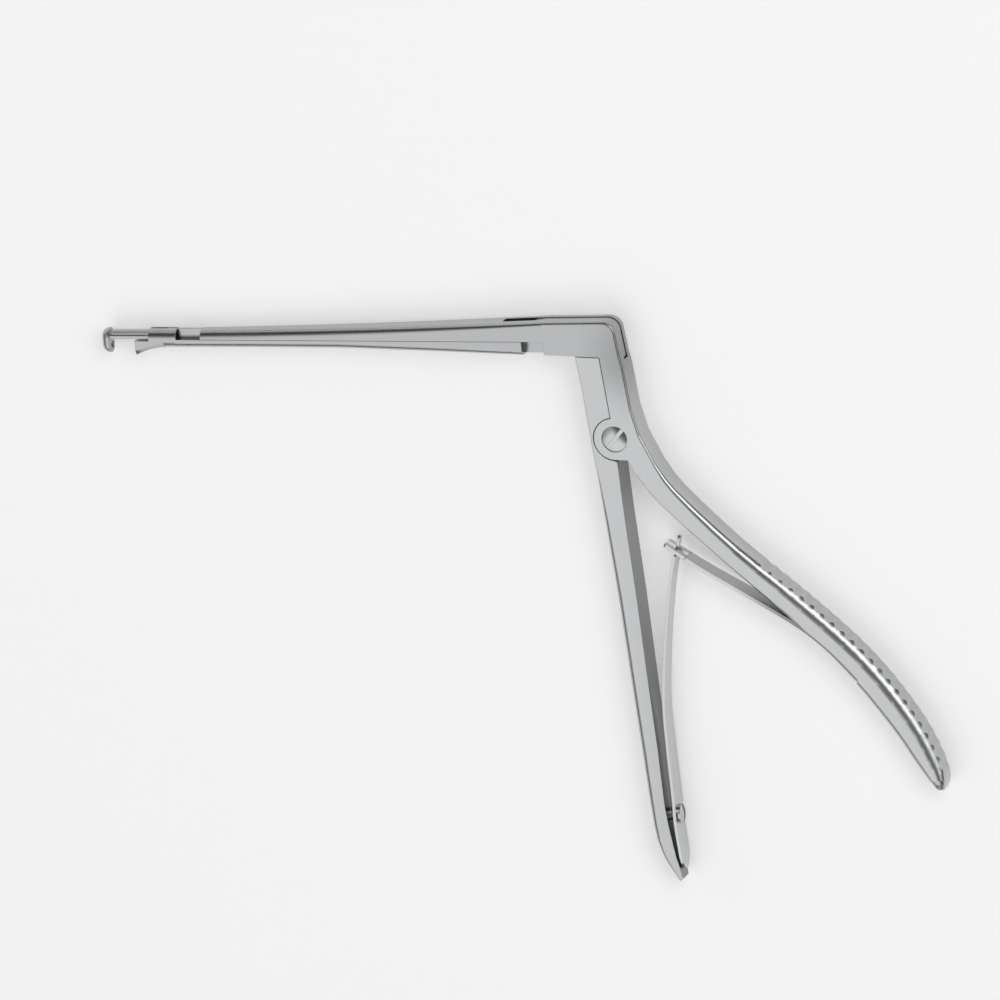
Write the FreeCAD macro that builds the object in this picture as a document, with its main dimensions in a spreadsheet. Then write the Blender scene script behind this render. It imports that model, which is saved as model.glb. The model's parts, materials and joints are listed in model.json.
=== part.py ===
import FreeCAD
import Part
import Sketcher
import math
import os

# A bone rongeur: a biting forceps with a fixed upper bar that ends in a hook, a slider
# under the bar whose nose closes on the hook, a squeezed lever that drives the slider
# through a finger, and two leaf springs that push the handles apart again.
# The pivot's axis is the origin of every sketch: X runs back from the hook along the
# bar, Y runs up from the handles to the bar, and Z is across the tool. The placement of
# each body then lays the tool on its side with the origin under its middle.
# The seam is the plane between the bar and the slider. Heights up the tool are given
# above or below it, and places along the bar are given ahead of the pivot.

SIZES = {
    # the whole tool
    "joint_thickness": 7.8,
    "seam_height": 25.5,
    "pivot_from_middle": 28.3,
    "pivot_from_base": 43.13,
    # upper bar
    "bar_front": 109.5,
    "head_front": 16.8,
    "bar_nose_half_width": 2.47,
    "bar_nose_rise": 2.56,
    "bar_head_rise": 5.15,
    "bar_sag": 0.33,
    "bar_nose_round": 2.36,
    "bar_head_round": 1.0,
    # head and its two cheeks
    "corner_rise": 5.35,
    "corner_round": 3.5,
    "corner_back": 2.75,
    "head_edge_round": 0.8,
    "cheek_front": 2.11,
    "cheek_drop": 4.05,
    "head_drop": 3.35,
    "boss_radius": 5.45,
    "slot_width": 2.8,
    "slot_front": 28.0,
    "slot_end_drop": 5.1,
    # stem and hook at the tip
    "hook_face": 134.3,
    "hook_depth": 2.2,
    "hook_round": 1.9,
    "hook_half_width": 2.25,
    "hook_rise": 2.6,
    "hook_drop": 3.95,
    "cup_lift": 1.95,
    "cup_depth": 0.8,
    "cup_radius": 1.5,
    "stem_radius": 2.15,
    "stem_flat": 1.9,
    "stem_end": 117.8,
    "undercut_low": 0.75,
    "undercut_high": 1.35,
    "rib_thickness": 0.9,
    # slider
    "opening": 7.0,
    "travel_room": 0.2,
    "nose_top_gap": 0.45,
    "block_front": 123.5,
    "block_back": 116.6,
    "block_radius": 2.5,
    "crown_gap": 1.0,
    "slider_back": 22.7,
    "seam_gap": 0.06,
    "slide_clearance": 0.06,
    "guide_clearance": 0.08,
    "foot_front": 33.8,
    "foot_back": 28.3,
    "foot_half_width": 1.32,
    "foot_neck_half_width": 0.92,
    "foot_neck_rise": 1.6,
    "foot_top_rise": 2.65,
    "tail_half_width": 1.22,
    "tail_front": 19.5,
    "tail_drop": 3.4,
    "tail_sink": 0.2,
    "tail_front_step": 0.25,
    # lever
    "finger_drop": 1.5,
    "finger_place": 0.9,
    "finger_radius": 1.25,
    "finger_clearance": 0.1,
    "web_half_width": 1.3,
    "web_radius": 5.0,
    "web_clearance": 0.15,
    "joint_gap": 0.12,
    "heel_gap": 0.2,
    "spring_boss_radius": 1.7,
    "spring_boss_drop": 99.9,
    # screws
    "pivot_head_radius": 3.35,
    "pivot_head_recess": 0.9,
    "pivot_head_height": 1.3,
    "pivot_head_dome": 0.6,
    "pivot_shank_radius": 1.8,
    "pivot_clearance": 0.05,
    "seat_clearance": 0.04,
    "driver_slot_width": 0.95,
    "driver_slot_depth": 0.8,
    "spring_screw_radius": 1.25,
    "front_screw_head": 2.5,
    "front_screw_height": 1.25,
    "front_screw_dome": 0.55,
    "rear_screw_head": 2.2,
    "rear_screw_height": 0.5,
    "rear_screw_dome": 0.12,
    # leaf springs
    "front_spring_thickness": 0.8,
    "rear_spring_thickness": 0.85,
    "fork_width": 2.0,
    "tongue_half_width": 0.7,
    "spring_seat_gap": 0.03,
    # grooves across the rear handle, along its back from the first handle section
    "groove_count": 21,
    "groove_first": 38.4,
    "groove_pitch": 3.4,
    "groove_radius": 2.1,
    "groove_depth": 0.95,
}

# Rear handle, section by section: the point on its back, the heading, the depth across,
# the rounding of the back edges and of the front edges, and half the width.
HANDLE_WORDS = ("x", "y", "heading", "depth", "back", "front", "half")
HANDLE_STATIONS = [
    (10.35, -6.5, -60.0, 6.1, 0.85, 0.3, 3.9),
    (15.5, -13.6, -52.0, 6.0, 1.5, 0.4, 3.9),
    (30.2, -28.0, -41.5, 5.8, 2.3, 0.6, 3.9),
    (47.6, -42.5, -41.5, 7.2, 3.3, 1.4, 3.9),
    (62.8, -57.1, -49.0, 8.3, 3.6, 2.2, 3.9),
    (73.7, -72.1, -60.0, 8.2, 3.6, 2.5, 3.9),
    (79.0, -83.5, -72.0, 6.9, 3.3, 2.4, 3.9),
    (79.9, -89.7, -88.0, 4.6, 2.2, 1.9, 3.6),
    (79.0, -92.9, -108.0, 2.5, 1.1, 1.1, 2.4),
]

# Lever grip: front edge and back edge of each section, the rounding of its front edges
# and half the width. The last sections turn into the thin narrow toe, and their heights
# are measured from the front spring's screw.
GRIP_WORDS = ("front_x", "front_y", "back_x", "back_y", "round", "half")
GRIP_STATIONS = [
    (-5.50, -8.0, 0.40, -8.0, 0.35, 3.9),
    (-4.90, -21.0, 0.98, -21.0, 1.7, 3.9),
    (-3.35, -42.0, 2.24, -42.0, 2.2, 3.9),
    (-1.85, -65.0, 3.29, -65.0, 2.2, 3.9),
    (-0.70, -82.0, 4.20, -82.0, 2.2, 3.9),
    (0.35, 2.9, 4.72, 2.9, 2.0, 3.9),
    (1.40, -6.1, 5.70, -5.1, 1.7, 3.9),
    (3.45, -11.9, 6.45, -10.7, 1.1, 3.5),
    (6.35, -17.5, 7.35, -16.7, 0.35, 2.1),
]

# Front leaf spring: a point on its front face, the heading and half the width. The first
# three heights are measured from its screw.
LEAF_WORDS = ("x", "y", "heading", "half")
FRONT_SPRING_STATIONS = [
    (6.96, -9.1, 93.0, 3.15),
    (6.44, -1.6, 90.0, 3.3),
    (6.44, 4.7, 90.0, 3.2),
    (6.05, -81.5, 90.5, 2.95),
    (6.10, -69.0, 87.5, 2.7),
    (7.97, -52.8, 81.5, 2.45),
    (10.56, -38.0, 78.0, 2.2),
    (12.20, -31.2, 76.0, 2.1),
]
TONGUE_END = (13.28, -26.1, 76.0)

# The front spring's free lower end, which narrows to a rounded tip, measured from the
# same screw.
LEAF_END_STATIONS = [
    (6.96, -9.1, 93.0, 3.15),
    (7.06, -11.1, 92.5, 2.9),
    (7.12, -12.7, 92.0, 2.35),
    (7.15, -13.8, 92.0, 1.6),
    (7.17, -14.4, 92.0, 0.7),
]

# The stations whose heights are measured from the front spring's screw.
FROM_SCREW = {"grip": (5, 6, 7, 8), "front_leaf": (0, 1, 2), "leaf_end": (0, 1, 2, 3, 4)}

# Rear leaf spring: a point on its underside, the heading and half the width.
REAR_SPRING_STATIONS = [
    (9.83, -28.5, -33.0, 2.45),
    (19.54, -34.88, -32.0, 2.7),
    (31.50, -41.95, -31.0, 2.9),
    (43.50, -49.30, -36.0, 3.0),
    (51.00, -55.40, -44.0, 3.0),
    (58.68, -63.80, -46.5, 3.0),
]

# Slider bar: place ahead of the pivot, depth below the seam and rounding of its edges.
SLIDER_WORDS = ("ahead", "depth", "round")
SLIDER_STATIONS = [
    (116.6, 2.38, 2.1),
    (95.0, 2.33, 2.1),
    (72.0, 2.30, 2.0),
    (47.0, 2.98, 1.9),
    (22.7, 3.72, 1.5),
]

# Slider nose: place behind its front, half width, depth of the knee and of the bottom
# strip below the seam, and half the strip's width.
NOSE_WORDS = ("behind", "half", "knee", "bottom", "strip")
NOSE_STATIONS = [
    (0.0, 2.30, 3.0, 4.2, 1.5),
    (2.2, 2.40, 2.4, 3.35, 1.4),
    (4.6, 2.45, 1.8, 2.65, 1.3),
    (7.9, 2.42, 1.3, 2.35, 1.2),
]


class Size:
    """A number together with the sheet expression that it comes from."""

    def __init__(self, number, text):
        self.number = number
        self.text = text

    def __add__(self, other):
        other = as_size(other)
        return Size(self.number + other.number, "(%s + %s)" % (self.text, other.text))

    def __sub__(self, other):
        other = as_size(other)
        return Size(self.number - other.number, "(%s - %s)" % (self.text, other.text))

    def __mul__(self, other):
        other = as_size(other)
        return Size(self.number * other.number, "(%s * %s)" % (self.text, other.text))

    def __truediv__(self, other):
        other = as_size(other)
        return Size(self.number / other.number, "(%s / %s)" % (self.text, other.text))

    def __neg__(self):
        return Size(-self.number, "(0 - %s)" % self.text)

    __radd__ = __add__
    __rmul__ = __mul__

    def __rsub__(self, other):
        return as_size(other) - self


def as_size(value):
    if isinstance(value, Size):
        return value
    return Size(float(value), "(%.9g)" % value)


doc = FreeCAD.newDocument("bone_rongeur")
sheet = doc.addObject("Spreadsheet::Sheet", "Sizes")
rows = dict(SIZES)
for kind, words, stations in (
        ("handle", HANDLE_WORDS, HANDLE_STATIONS), ("grip", GRIP_WORDS, GRIP_STATIONS),
        ("front_leaf", LEAF_WORDS, FRONT_SPRING_STATIONS), ("leaf_end", LEAF_WORDS, LEAF_END_STATIONS),
        ("rear_leaf", LEAF_WORDS, REAR_SPRING_STATIONS), ("slider", SLIDER_WORDS, SLIDER_STATIONS),
        ("nose", NOSE_WORDS, NOSE_STATIONS)):
    for number, station_values in enumerate(stations):
        for word, value in zip(words, station_values):
            rows["%s_%s_%d" % (kind, word, number)] = value
for row, (alias, value) in enumerate(rows.items(), start=1):
    sheet.set("A%d" % row, alias)
    sheet.set("B%d" % row, "%.9g" % value)
    sheet.setAlias("B%d" % row, alias)
doc.recompute()


def size(alias):
    return Size(float(rows[alias]), "Sizes.%s" % alias)


half = size("joint_thickness") / 2
seam = size("seam_height")


def new_body(label):
    """A body whose origin is the pivot's axis, laid down with the whole tool."""
    body = doc.addObject("PartDesign::Body", label)
    body.Label = label
    body.Placement = FreeCAD.Placement(
        FreeCAD.Vector(rows["pivot_from_middle"], rows["pivot_from_base"], half.number), FreeCAD.Rotation())
    body.setExpression("Placement.Base.x", "Sizes.pivot_from_middle")
    body.setExpression("Placement.Base.y", "Sizes.pivot_from_base")
    body.setExpression("Placement.Base.z", half.text)
    return body


def new_sketch(body, name, role, x=0.0, y=0.0, z=0.0, heading=None):
    """A sketch on one of the body's planes, moved by expressions."""
    sketch = body.newObject("Sketcher::SketchObject", name)
    plane = [item for item in body.Origin.OriginFeatures if item.Role == role][0]
    sketch.AttachmentSupport = [(plane, "")]
    sketch.MapMode = "FlatFace"
    turn = FreeCAD.Rotation()
    if heading is not None:
        turn = FreeCAD.Rotation(FreeCAD.Vector(0, 1, 0), as_size(heading).number)
    moves = [as_size(value) for value in (x, y, z)]
    sketch.AttachmentOffset = FreeCAD.Placement(FreeCAD.Vector(*[move.number for move in moves]), turn)
    for letter, move in zip("xyz", moves):
        if "Sizes" in move.text:
            sketch.setExpression("AttachmentOffset.Base.%s" % letter, move.text)
    if heading is not None and "Sizes" in as_size(heading).text:
        sketch.setExpression("AttachmentOffset.Rotation.Angle", as_size(heading).text)
    return sketch


def pin(sketch, kind, places, value):
    """One dimension of the sketch, tied to the sheet when it comes from there."""
    value = as_size(value)
    index = sketch.addConstraint(Sketcher.Constraint(kind, *places, value.number))
    if "Sizes" in value.text:
        sketch.setExpression("Constraints[%d]" % index, value.text)


def draw_outline(sketch, corners):
    """A closed outline. A corner is (u, v), or (u, v, radius, side) for an arc that ends there.

    side is +1 where the arc turns left and -1 where it turns right.
    """
    count = len(corners)
    vector = [FreeCAD.Vector(as_size(c[0]).number, as_size(c[1]).number, 0) for c in corners]
    ends = []
    for index in range(count):
        first = vector[index]
        last = vector[(index + 1) % count]
        target = corners[(index + 1) % count]
        if len(target) == 2:
            geometry = sketch.addGeometry(Part.LineSegment(first, last), False)
            ends.append((geometry, 1, 2, None))
            continue
        radius = as_size(target[2])
        side = target[3]
        chord = last - first
        reach = math.sqrt(max(radius.number ** 2 - chord.Length ** 2 / 4, 0.0))
        normal = FreeCAD.Vector(-chord.y, chord.x, 0).normalize() * side
        centre = (first + last) * 0.5 + normal * reach
        angles = [math.atan2(point.y - centre.y, point.x - centre.x) for point in (first, last)]
        if side < 0:
            angles.reverse()
        circle = Part.Circle(centre, FreeCAD.Vector(0, 0, 1), radius.number)
        geometry = sketch.addGeometry(Part.ArcOfCircle(circle, angles[0], angles[1]), False)
        # The ends of a half circle already fix its radius.
        if reach < 1e-6:
            radius = None
        ends.append((geometry, 1, 2, radius) if side > 0 else (geometry, 2, 1, radius))
    for index in range(count):
        geometry, start, end, radius = ends[index]
        following = ends[(index + 1) % count]
        sketch.addConstraint(Sketcher.Constraint("Coincident", geometry, end, following[0], following[1]))
        pin(sketch, "DistanceX", (-1, 1, geometry, start), corners[index][0])
        pin(sketch, "DistanceY", (-1, 1, geometry, start), corners[index][1])
        if radius is not None:
            pin(sketch, "Radius", (geometry,), radius)
    return sketch


def draw_circle(sketch, u, v, radius):
    u, v, radius = as_size(u), as_size(v), as_size(radius)
    centre = FreeCAD.Vector(u.number, v.number, 0)
    geometry = sketch.addGeometry(Part.Circle(centre, FreeCAD.Vector(0, 0, 1), radius.number), False)
    pin(sketch, "DistanceX", (-1, 1, geometry, 3), u)
    pin(sketch, "DistanceY", (-1, 1, geometry, 3), v)
    pin(sketch, "Radius", (geometry,), radius)
    return sketch


def extrude(body, name, sketch, length, cut=False, symmetric=True, reverse=False):
    """A pad or a pocket of one sketch, with its length tied to the sheet."""
    feature = body.newObject("PartDesign::Pocket" if cut else "PartDesign::Pad", name)
    feature.Profile = sketch
    length = as_size(length)
    feature.Length = length.number
    if "Sizes" in length.text:
        feature.setExpression("Length", length.text)
    if symmetric:
        feature.SideType = "Symmetric"
    feature.Reversed = reverse
    return feature


def loft(body, name, sketches, straight=False):
    feature = body.newObject("PartDesign::AdditiveLoft", name)
    feature.Profile = sketches[0]
    feature.Sections = sketches[1:]
    feature.Ruled = straight
    return feature


def round_edges(body, name, spots, radius):
    """A fillet on the edges of the solid so far that pass nearest to the given spots."""
    doc.recompute()
    base = body.Tip
    names = []
    for spot in spots:
        probe = Part.Vertex(*spot)
        reach = [edge.distToShape(probe)[0] for edge in base.Shape.Edges]
        names.append("Edge%d" % (reach.index(min(reach)) + 1))
    feature = body.newObject("PartDesign::Fillet", name)
    feature.Base = (base, sorted(set(names)))
    radius = as_size(radius)
    feature.Radius = radius.number
    if "Sizes" in radius.text:
        feature.setExpression("Radius", radius.text)
    return feature


def rounded_section(sketch, low, high, half_width, low_round, high_round):
    """A section from low to high, rounded on its low corners, its high corners or both."""
    corners = []
    if low_round is None:
        corners += [(low, -half_width), (low, half_width)]
    else:
        corners += [(low, low_round - half_width), (low, half_width - low_round),
                    (low + low_round, half_width, low_round, -1)]
    if high_round is None:
        corners += [(high, half_width), (high, -half_width)]
    else:
        corners += [(high - high_round, half_width), (high, half_width - high_round, high_round, -1),
                    (high, high_round - half_width), (high - high_round, -half_width, high_round, -1)]
    if low_round is not None:
        corners += [(low + low_round, -half_width)]
        first = corners[0]
        corners[0] = (first[0], first[1], low_round, -1)
    return draw_outline(sketch, corners)


def station(body, name, x, y, heading=0.0):
    """A sketch square to the heading at (x, y): its u runs to the left of the heading, its v along Z."""
    return new_sketch(body, name, "YZ_Plane", x=y, z=x, heading=heading)



def station_size(kind, word, index):
    """One number of a station; a height from the front spring's screw is counted from the pivot."""
    value = size("%s_%s_%d" % (kind, word, index))
    if word in ("y", "front_y", "back_y") and index in FROM_SCREW.get(kind, ()):
        return value - size("spring_boss_drop")
    return value


def smooth(kind, word, count, where):
    """A column of the stations at a place between two of them, along a smooth curve."""
    index = min(int(where), count - 2)
    share = where - index

    def entry(number):
        if number < 0:
            return entry(0) * 2 - entry(1)
        if number > count - 1:
            return entry(count - 1) * 2 - entry(count - 2)
        return station_size(kind, word, number)

    if share < 1e-6:
        return entry(index)
    if share > 1 - 1e-6:
        return entry(index + 1)
    square = share * share
    cube = square * share
    return (entry(index - 1) * ((2 * square - share - cube) / 2) + entry(index) * (1 + (3 * cube - 5 * square) / 2)
            + entry(index + 1) * ((share + 4 * square - 3 * cube) / 2) + entry(index + 2) * ((cube - square) / 2))


def even(kind, word, count, where):
    """A column of the stations at a place between two of them, in equal steps."""
    index = min(int(where), count - 2)
    share = where - index
    return station_size(kind, word, index) * (1 - share) + station_size(kind, word, index + 1) * share


def stops(count, steps):
    """The places of the sections: each station and the steps between two of them."""
    return [number / steps for number in range((count - 1) * steps + 1)]


def handle_section(body, where):
    count = len(HANDLE_STATIONS)
    x, y, heading, depth = [smooth("handle", word, count, where) for word in ("x", "y", "heading", "depth")]
    back, front, half_width = [even("handle", word, count, where) for word in ("back", "front", "half")]
    place = station(body, "HandleSection%d" % round(where * 12), x, y, heading)
    return rounded_section(place, -depth, as_size(0.0), half_width, front, back)


def round_tip(body, name, end, radius):
    """Round the rim of the end face that lies at the end station."""
    doc.recompute()
    base = body.Tip
    spot = FreeCAD.Vector(end[0], end[1], 0)
    reach = [(face.CenterOfMass - spot).Length for face in base.Shape.Faces]
    feature = body.newObject("PartDesign::Fillet", name)
    feature.Base = (base, ["Face%d" % (reach.index(min(reach)) + 1)])
    radius = as_size(radius)
    feature.Radius = radius.number
    if "Sizes" in radius.text:
        feature.setExpression("Radius", radius.text)
    return feature


def turned(body, name, sketch, axis, profile):
    """A turned piece about one axis of its sketch."""
    draw_outline(sketch, profile)
    feature = body.newObject("PartDesign::Revolution", name)
    feature.Profile = sketch
    feature.ReferenceAxis = (sketch, [axis])
    feature.Angle = 360.0
    return feature


def dome_radius(head, rise):
    """The radius of a shallow dome of the given rise on a head of the given radius."""
    return (head * head + rise * rise) / (rise * 2)


def make_hook(body):
    """The hook is an upright oval with a rounded front, hollowed by a cup on its inner face."""
    side = size("hook_half_width")
    face = size("hook_face")
    bottom = seam - size("hook_drop")
    top = seam + size("hook_rise")
    oval = new_sketch(body, "HookOutline", "YZ_Plane", z=-face)
    draw_outline(oval, [(bottom + side, side, side, -1), (top - side, side), (top - side, -side, side, -1),
                        (bottom + side, -side)])
    extrude(body, "Hook", oval, size("hook_depth"), symmetric=False, reverse=True)
    nose = (-rows["hook_face"] - rows["hook_depth"], (bottom.number + top.number) / 2)
    round_tip(body, "HookNose", nose, size("hook_round"))
    radius = size("cup_radius")
    depth = size("cup_depth")
    cup = new_sketch(body, "CupOutline", "XY_Plane", x=-face, y=bottom + size("cup_lift"))
    draw_outline(cup, [
        (0.1, 0.0), (0.1, radius), (0.0, radius), (-depth, 0.0, dome_radius(radius, depth), 1)])
    groove = body.newObject("PartDesign::Groove", "Cup")
    groove.Profile = cup
    groove.ReferenceAxis = (cup, ["H_Axis"])
    groove.Angle = 360.0

    # The stem is a rail with an undercut along each side; behind it only a rib is left.
    low = seam + size("undercut_low")
    high = seam + size("undercut_high")
    flat = seam + size("stem_flat")
    outer, inner, top_half, rail_half = 1.71, 1.1, 1.0, 1.8
    rail = new_sketch(body, "StemSection", "YZ_Plane", z=-face - 0.5)
    draw_outline(rail, [
        (seam, -rail_half), (low, -rail_half), (low, -inner), (high, -inner), (high, -outer), (flat, -top_half),
        (flat, top_half), (high, outer), (high, inner), (low, inner), (low, rail_half), (seam, rail_half)])
    extrude(body, "Stem", rail, face + 0.5 - size("stem_end"), symmetric=False)
    rib = new_sketch(body, "RibSection", "YZ_Plane", z=-size("stem_end") - 1.0)
    rib_half = size("rib_thickness") / 2
    rib_top = seam + size("bar_nose_rise") - 0.15
    draw_outline(rib, [(seam, -rib_half), (rib_top, -rib_half), (rib_top, rib_half), (seam, rib_half)])
    extrude(body, "Rib", rib, size("stem_end") + 1.5 - size("bar_front"), symmetric=False)


def bar_share(ahead):
    """How far from its nose to the head a place on the bar lies."""
    return (size("bar_front") - ahead) / (size("bar_front") - size("head_front"))


def bar_half_width(ahead):
    return size("bar_nose_half_width") + (half - size("bar_nose_half_width")) * bar_share(ahead)


def bar_rise(ahead):
    """The height of the bar's back above the seam, with its slight sag."""
    share = bar_share(ahead)
    rise = size("bar_nose_rise") + (size("bar_head_rise") - size("bar_nose_rise")) * share
    return rise - size("bar_sag") * 4 * share * (1 - share)


def make_bar(body):
    """The bar grows in height and width from the nose to the head."""
    sections = []
    steps = 6
    for index in range(steps + 1):
        share = index / steps
        ahead = size("bar_front") * (1 - share) + size("head_front") * share
        radius = size("bar_nose_round") + (size("bar_head_round") - size("bar_nose_round")) * (share * share)
        place = station(body, "BarSection%d" % index, -ahead, 0.0)
        sections.append(rounded_section(place, seam, seam + bar_rise(ahead), bar_half_width(ahead), None, radius))
    loft(body, "Bar", sections, straight=True)


# The head's back edge between its top corner and the handle, as places behind the pivot
# and heights that follow the seam.
HEAD_BACK = [(3.5, 21.6), (4.05, 19.0), (5.25, 8.0), (6.95, 0.9)]


def head_back():
    seam_start = 25.5
    return [(as_size(x), seam * (y / seam_start)) for x, y in HEAD_BACK]


def cheek_height(ahead):
    """The height of the cheeks' lower edge ahead of the pivot."""
    slope = (size("cheek_drop") - size("head_drop")) / (size("head_front") - size("cheek_front"))
    return seam - size("cheek_drop") + (ahead - size("cheek_front")) * slope


def make_head(body):
    """The head is a flat plate that turns down into the rear handle."""
    start_x, start_y, depth = [station_size("handle", word, 0) for word in ("x", "y", "depth")]
    slope = math.radians(rows["handle_heading_0"])
    plate = new_sketch(body, "HeadOutline", "XY_Plane")
    top = seam + size("corner_rise")
    corner = size("corner_round")
    draw_outline(plate, [
        (-size("head_front"), seam + size("bar_head_rise")),
        (size("corner_back") - corner + 0.15, top),
        (size("corner_back"), top - corner, corner, -1)] + head_back() + [
        (start_x, start_y), (start_x + depth * math.sin(slope), start_y - depth * math.cos(slope)),
        (4.35, -8.0), (3.1, -5.55), (0.0, -size("boss_radius")), (-0.52, size("boss_radius") - 0.1),
        (-size("cheek_front"), seam - size("cheek_drop")), (-size("head_front"), seam - size("head_drop"))])
    extrude(body, "Head", plate, size("joint_thickness"))
    boss = new_sketch(body, "BossOutline", "XY_Plane")
    draw_circle(boss, 0.0, 0.0, size("boss_radius"))
    extrude(body, "Boss", boss, size("joint_thickness"))
    back = [(rows["corner_back"], (top - corner).number)]
    back += [(x.number, y.number) for x, y in head_back()] + [(start_x.number, start_y.number)]
    spots = [(-8.0, top.number - 0.05), (rows["corner_back"] - 0.3 * corner.number, (top - corner * 0.3).number)]
    for near, far in zip(back, back[1:]):
        spots.append(((near[0] + far[0]) / 2, (near[1] + far[1]) / 2))
    rims = [(x, y, side) for x, y in spots for side in (-half.number, half.number)]
    round_edges(body, "HeadRounding", rims, size("head_edge_round"))


def back_points(steps):
    """Points along the back of the rear handle, close together."""
    count = len(HANDLE_STATIONS)
    return [FreeCAD.Vector(smooth("handle", "x", count, where).number, smooth("handle", "y", count, where).number, 0)
            for where in stops(count, steps)]


def cut_grooves(body):
    """The grooves lie across the handle's round back, at equal steps along it."""
    grooves = new_sketch(body, "Grooves", "XY_Plane")
    points = back_points(24)
    passed = 0.0
    wanted = rows["groove_first"]
    left = int(rows["groove_count"])
    for near, far in zip(points, points[1:]):
        length = (far - near).Length
        along = (far - near).normalize()
        while left > 0 and wanted <= passed + length:
            outward = FreeCAD.Vector(-along.y, along.x, 0)
            centre = near + along * (wanted - passed) + outward * (rows["groove_radius"] - rows["groove_depth"])
            grooves.addGeometry(Part.Circle(centre, FreeCAD.Vector(0, 0, 1), rows["groove_radius"]), False)
            wanted += rows["groove_pitch"]
            left -= 1
        passed += length
    extrude(body, "Serrations", grooves, size("joint_thickness") + 1.0, cut=True)


def cut_slot(body):
    """The slot parts the two cheeks: it lets in the lever's web and the slider's tail."""
    front = -size("slot_front")
    end = seam - size("slot_end_drop")
    room = size("web_radius") + size("web_clearance")
    above = seam + 15.0
    slot = new_sketch(body, "SlotOutline", "XY_Plane")
    draw_outline(slot, [
        (front, above), (14.0, above), (14.0, end), (2.8, end), (room, 0.0), (2.3, -3.5), (2.3, -8.0),
        (-12.0, -8.0), (-12.0, seam - 5.5), (front, seam - 5.5)])
    extrude(body, "Slot", slot, size("slot_width"), cut=True)
    disc = new_sketch(body, "WebRoom", "XY_Plane")
    draw_circle(disc, 0.0, 0.0, room)
    extrude(body, "WebPocket", disc, size("slot_width"), cut=True)


def cut_guide(body):
    """A T-slot under the bar guides the slider's foot and lets it out into the open slot."""
    front = -size("foot_front") - size("opening") - size("travel_room")
    back = -size("slot_front") + 0.5
    clearance = size("guide_clearance")
    ledge = seam + size("foot_neck_rise") - clearance
    for name, low, high, width in (
            ("GuideNeck", seam - 1.0, ledge + 0.3, size("foot_neck_half_width")),
            ("GuideHead", ledge, seam + size("foot_top_rise") + clearance, size("foot_half_width"))):
        sketch = new_sketch(body, name, "XY_Plane")
        draw_outline(sketch, [(front, low), (back, low), (back, high), (front, high)])
        extrude(body, name + "Slot", sketch, (width + clearance) * 2, cut=True)


def make_frame():
    body = new_body("frame")
    make_hook(body)
    make_bar(body)
    make_head(body)
    loft(body, "RearHandle", [handle_section(body, where) for where in stops(len(HANDLE_STATIONS), 3)],
         straight=True)
    end_x, end_y, heading, depth = HANDLE_STATIONS[-1][:4]
    slope = math.radians(heading)
    round_tip(body, "HandleTip", (end_x + depth / 2 * math.sin(slope), end_y - depth / 2 * math.cos(slope)), 0.8)
    cut_grooves(body)
    cut_slot(body)
    cut_guide(body)

    # The pivot screw's hole, with a seat for its head in the near cheek.
    bore = new_sketch(body, "PivotHole", "XY_Plane")
    draw_circle(bore, 0.0, 0.0, size("pivot_shank_radius"))
    extrude(body, "PivotBore", bore, size("joint_thickness") + 2.0, cut=True)
    seat = new_sketch(body, "HeadSeat", "XY_Plane", z=half)
    draw_circle(seat, 0.0, 0.0, size("pivot_head_radius") + size("seat_clearance"))
    extrude(body, "PivotSeat", seat, size("pivot_head_recess"), cut=True, symmetric=False)
    cut_for_rear_spring(body)
    return body


def cut_for_rear_spring(body):
    """The leaf's own curve cuts its seat, and a hole takes its screw."""
    wide = half + 0.2
    low, high = as_size(-5.0), size("rear_spring_thickness") + size("spring_seat_gap")
    corners = [(low, -wide), (low, wide), (high, wide), (high, -wide)]
    sections = []
    count = len(REAR_SPRING_STATIONS)
    for index in range(count):
        x, y, heading = [station_size("rear_leaf", word, index) for word in ("x", "y", "heading")]
        sections.append(draw_outline(station(body, "SeatSection%d" % index, x, y, heading), corners))
    seat = body.newObject("PartDesign::SubtractiveLoft", "SpringSeat")
    seat.Profile = sections[0]
    seat.Sections = sections[1:]
    end = station(body, "SeatEndOutline", x, y, heading)
    draw_outline(end, corners)
    extrude(body, "SeatEnd", end, 0.15, cut=True, symmetric=False, reverse=True)
    hole = rear_screw_sketch(body, "SpringScrewHole", 0.0)
    draw_circle(hole, 0.0, 0.0, size("spring_screw_radius"))
    extrude(body, "SpringScrewBore", hole, 3.6, cut=True, symmetric=False, reverse=True)


def rear_screw_place():
    """Where the rear spring's screw enters the handle, on the spring's top side."""
    points = []
    for x, y, heading, half_width in REAR_SPRING_STATIONS[-2:]:
        angle = math.radians(heading)
        normal = FreeCAD.Vector(-math.sin(angle), math.cos(angle), 0)
        points.append(FreeCAD.Vector(x, y, 0) + normal * rows["rear_spring_thickness"])
    near, far = points
    along = (far - near).normalize()
    return near + (far - near) * 0.5, FreeCAD.Vector(-along.y, along.x, 0)


def rear_screw_sketch(body, name, lift):
    """A sketch across the rear spring's screw, lifted towards the handle."""
    place, normal = rear_screw_place()
    place = place + normal * lift
    return station(body, name, place.x, place.y, math.degrees(math.atan2(normal.y, normal.x)))


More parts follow.
